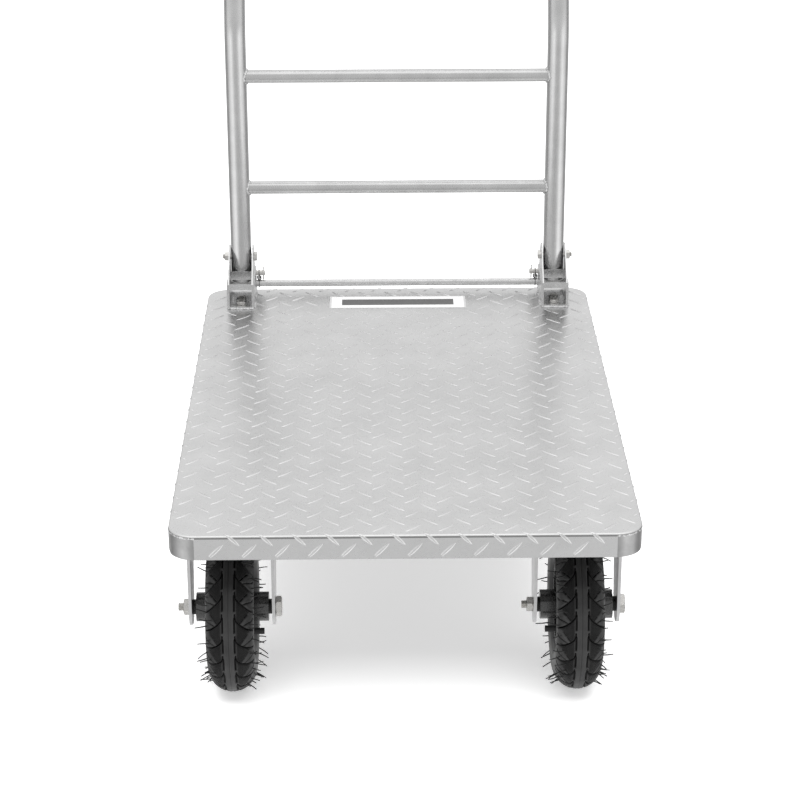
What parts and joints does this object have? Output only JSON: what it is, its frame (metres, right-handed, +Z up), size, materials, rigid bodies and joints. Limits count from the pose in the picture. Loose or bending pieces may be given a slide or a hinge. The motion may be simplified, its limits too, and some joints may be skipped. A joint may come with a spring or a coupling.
{
  "type": "flatbed platform truck",
  "caption": "Flatbed platform truck with a tread-plate deck, folding push handle and pneumatic wheels: rigid casters in front, swivel casters behind.",
  "frame": {"origin": "floor level under the middle of the whole truck", "axes": "+Z up, +Y from the rigid front wheels to the push handle, +X to the right seen from the front wheels"},
  "size_m": [0.6004, 0.9294, 0.89],
  "materials": {
    "bearing_steel": "ground steel",
    "bracket_zinc": "bright zinc",
    "deck_zinc": "satin zinc, pressed tread pattern",
    "fastener_zinc": "bright zinc",
    "fork_zinc": "bright zinc",
    "frame_silver": "silver paint",
    "handle_silver": "satin silver",
    "label_film": "printed film",
    "rim_black": "gloss black paint",
    "spacer_black": "moulded",
    "spring_steel": "dark oiled wire",
    "strip_steel": "satin, welded in",
    "tube_rubber": "smooth rubber",
    "tyre_rubber": "semi-gloss rubber"
  },
  "bodies": {
    "root": {"deck_plate": "deck_zinc", "corner_strips": "strip_steel", "label": "label_film", "cross_members": "frame_silver", "side_rails": "frame_silver", "backing_plates": "frame_silver", "handle_brackets": "bracket_zinc", "bracket_shoes": "bracket_zinc", "bracket_bolts": "fastener_zinc", "m8_nuts": "fastener_zinc", "pivot_bolts": "fastener_zinc", "anchor_pins": "fastener_zinc", "split_pins": "fastener_zinc", "release_springs": "spring_steel", "front_forks": "fork_zinc", "front_axle_bolts": "fastener_zinc", "front_axle_nuts": "fastener_zinc", "front_axle_spacers": "spacer_black", "caster_bolts": "fastener_zinc", "caster_nuts": "fastener_zinc", "swivel_plates": "fork_zinc", "swivel_races": "fastener_zinc", "kingpins": "fastener_zinc"},
    "handle": {"handle_tube": "handle_silver", "crossbar_lower": "handle_silver", "crossbar_upper": "handle_silver"},
    "release_bar": {"release_rod": "bracket_zinc", "latch_tongues": "bracket_zinc"},
    "rear_swivel_left": {"rear_fork_left": "fork_zinc", "rear_axle_bolt_left": "fastener_zinc", "rear_axle_nut_left": "fastener_zinc", "rear_axle_spacers_left": "spacer_black"},
    "rear_swivel_right": {"rear_fork_right": "fork_zinc", "rear_axle_bolt_right": "fastener_zinc", "rear_axle_nut_right": "fastener_zinc", "rear_axle_spacers_right": "spacer_black"},
    "front_wheel_left": {"front_left_tyre": "tyre_rubber", "front_left_inner_tube": "tube_rubber", "front_left_rim": "rim_black", "front_left_rim_bolts": "fastener_zinc", "front_left_hub": "rim_black", "front_left_bearings": "bearing_steel"},
    "front_wheel_right": {"front_right_tyre": "tyre_rubber", "front_right_inner_tube": "tube_rubber", "front_right_rim": "rim_black", "front_right_rim_bolts": "fastener_zinc", "front_right_hub": "rim_black", "front_right_bearings": "bearing_steel"},
    "rear_wheel_left": {"rear_left_tyre": "tyre_rubber", "rear_left_inner_tube": "tube_rubber", "rear_left_rim": "rim_black", "rear_left_rim_bolts": "fastener_zinc", "rear_left_hub": "rim_black", "rear_left_bearings": "bearing_steel"},
    "rear_wheel_right": {"rear_right_tyre": "tyre_rubber", "rear_right_inner_tube": "tube_rubber", "rear_right_rim": "rim_black", "rear_right_rim_bolts": "fastener_zinc", "rear_right_hub": "rim_black", "rear_right_bearings": "bearing_steel"}
  },
  "joints": [
    {"name": "handle_fold", "type": "hinge", "parent": "root", "child": "handle", "pos_m": [0, 0.39527, 0.3551], "axis": [1, 0, 0], "range_deg": [0, 90]},
    {"name": "release_press", "type": "slide", "parent": "root", "child": "release_bar", "axis": [0, 0, -1], "range_m": [0, 0.005], "stiffness_N_per_m": 1000, "springref_m": -0.01, "deforming": ["release_springs"]},
    {"name": "front_left_roll", "type": "hinge", "parent": "root", "child": "front_wheel_left", "pos_m": [-0.228, -0.31872, 0.1125], "axis": [1, 0, 0], "continuous": true},
    {"name": "front_right_roll", "type": "hinge", "parent": "root", "child": "front_wheel_right", "pos_m": [0.228, -0.31872, 0.1125], "axis": [1, 0, 0], "continuous": true},
    {"name": "rear_left_swivel", "type": "hinge", "parent": "root", "child": "rear_swivel_left", "pos_m": [-0.228, 0.26027, 0.248], "axis": [0, 0, 1], "continuous": true},
    {"name": "rear_right_swivel", "type": "hinge", "parent": "root", "child": "rear_swivel_right", "pos_m": [0.228, 0.26027, 0.248], "axis": [0, 0, 1], "continuous": true},
    {"name": "rear_left_roll", "type": "hinge", "parent": "rear_swivel_left", "child": "rear_wheel_left", "pos_m": [-0.228, 0.31028, 0.1125], "axis": [1, 0, 0], "continuous": true},
    {"name": "rear_right_roll", "type": "hinge", "parent": "rear_swivel_right", "child": "rear_wheel_right", "pos_m": [0.228, 0.31028, 0.1125], "axis": [1, 0, 0], "continuous": true}
  ]
}
